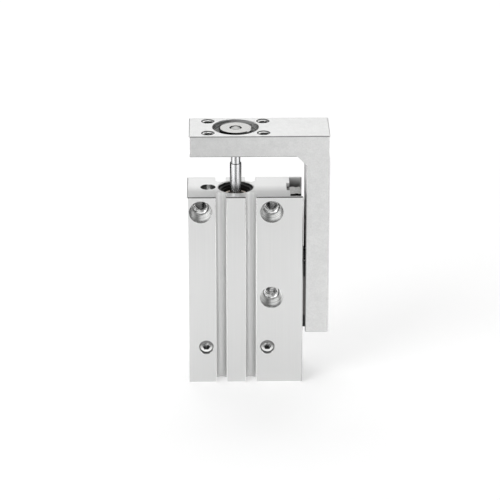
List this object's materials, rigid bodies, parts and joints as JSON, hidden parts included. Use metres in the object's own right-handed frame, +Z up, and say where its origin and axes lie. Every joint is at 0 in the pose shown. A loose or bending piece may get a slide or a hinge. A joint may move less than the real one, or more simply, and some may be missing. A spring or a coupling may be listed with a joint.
{
  "type": "guided pneumatic cylinder",
  "caption": "Compact pneumatic cylinder whose piston rod moves an L-shaped table along a miniature linear guide; grooved block body with counterbored mounting holes.",
  "frame": {"origin": "bottom centre of the whole object's bounding box, on the plane of the body's lower end", "axes": "+Z up along the bore and the table's travel, +X from the body to the table's plate, +Y to the back"},
  "size_m": [0.049, 0.02, 0.092],
  "materials": {
    "anodised_body": "clear-anodised extruded aluminium, satin",
    "blasted_table": "bead-blasted, clear-anodised aluminium",
    "machined_aluminium": "turned aluminium",
    "polished_rod": "ground and polished stainless steel",
    "guide_steel": "ground stainless bearing steel",
    "ball_steel": "polished bearing steel",
    "bushing_steel": "turned steel, bright",
    "zinc_steel": "plated steel",
    "black_oxide_steel": "black-oxide spring and screw steel",
    "bronze": "bearing bronze, turned",
    "magnet": "bonded magnet",
    "black_rubber": "nitrile rubber",
    "urethane": "urethane",
    "wear_resin": "bearing resin",
    "black_resin": "moulded black resin"
  },
  "bodies": {
    "cylinder": {"cylinder_body": "anodised_body", "port_plugs": "zinc_steel", "passage_plugs": "zinc_steel", "rod_cover": "bronze", "rod_cover_o_ring": "black_rubber", "rod_seal": "black_rubber", "rod_retaining_ring": "black_oxide_steel", "head_cover": "anodised_body", "head_cover_o_ring": "black_rubber", "head_retaining_ring": "black_oxide_steel", "guide_rail": "guide_steel", "rail_screws": "black_oxide_steel"},
    "slide": {"piston_rod": "polished_rod", "piston": "machined_aluminium", "piston_seal": "black_rubber", "piston_magnet": "magnet", "piston_wear_ring": "wear_resin", "rod_side_bumper": "urethane", "head_side_bumper": "urethane", "floating_bushing": "bushing_steel", "rod_washer": "zinc_steel", "table": "blasted_table", "guide_block": "guide_steel", "block_end_cap_upper": "black_resin", "block_end_cap_lower": "black_resin", "block_end_seals": "black_rubber", "end_screws": "zinc_steel", "guide_balls": "ball_steel", "block_screws": "black_oxide_steel"}
  },
  "joints": [
    {"name": "table_slide", "type": "slide", "parent": "cylinder", "child": "slide", "axis": [0, 0, 1], "range_m": [-0.012, 0.013]}
  ]
}
